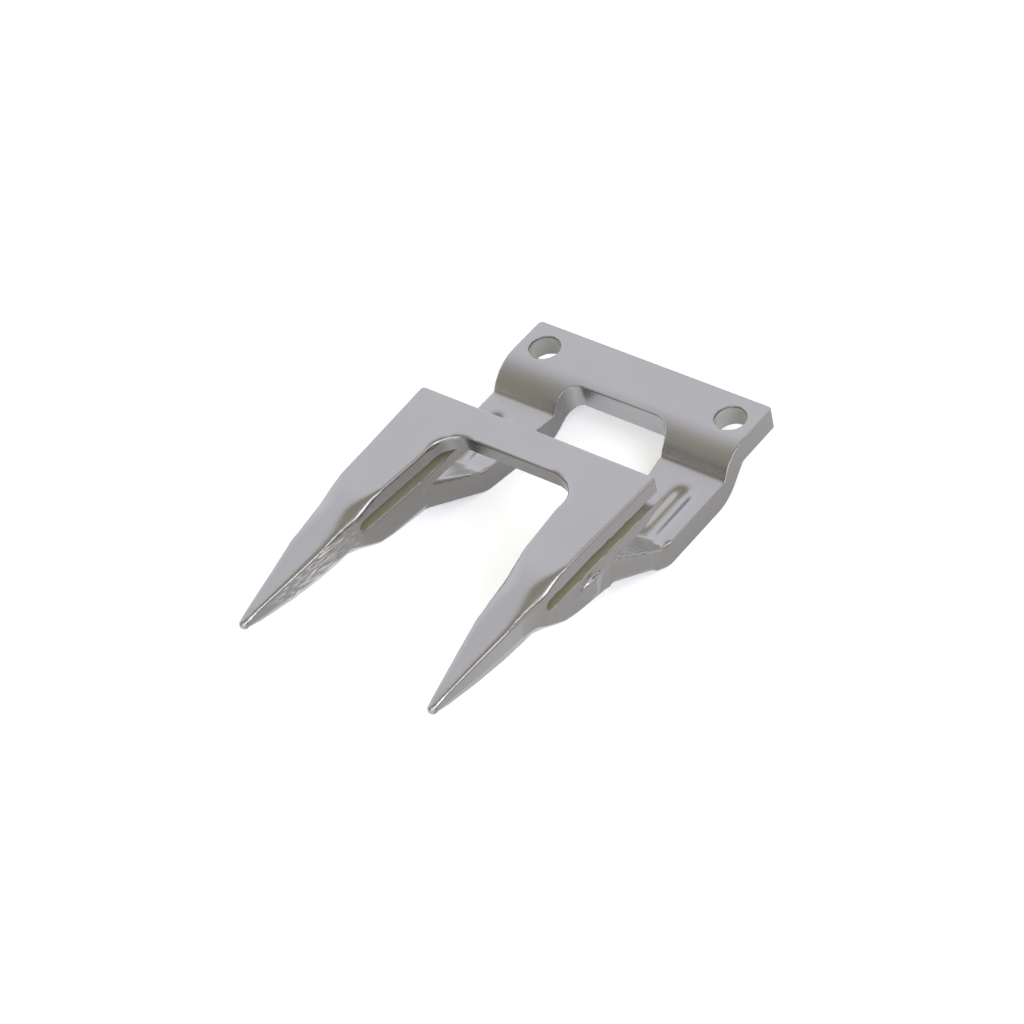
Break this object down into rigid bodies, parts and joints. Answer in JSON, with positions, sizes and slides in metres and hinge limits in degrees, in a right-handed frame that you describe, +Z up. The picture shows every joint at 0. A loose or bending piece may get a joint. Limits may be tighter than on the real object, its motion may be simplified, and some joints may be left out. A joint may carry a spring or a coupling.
{
  "type": "mower knife guard",
  "caption": "Forged double-finger guard for a sickle-bar mower knife, with a cross slot, a bridged lip and a stepped bolting flange.",
  "frame": {"origin": "on the bolting face (top of the flange), midway between the two bolt holes", "axes": "+X across the guard along the knife's travel, -Y forward along the fingers, +Z up out of the bolting face"},
  "size_m": [0.0954, 0.1662, 0.0371],
  "materials": {
    "forged_steel": "satin cleaned forging, light grey"
  },
  "bodies": {
    "root": {"knife_guard": "forged_steel"}
  },
  "joints": []
}
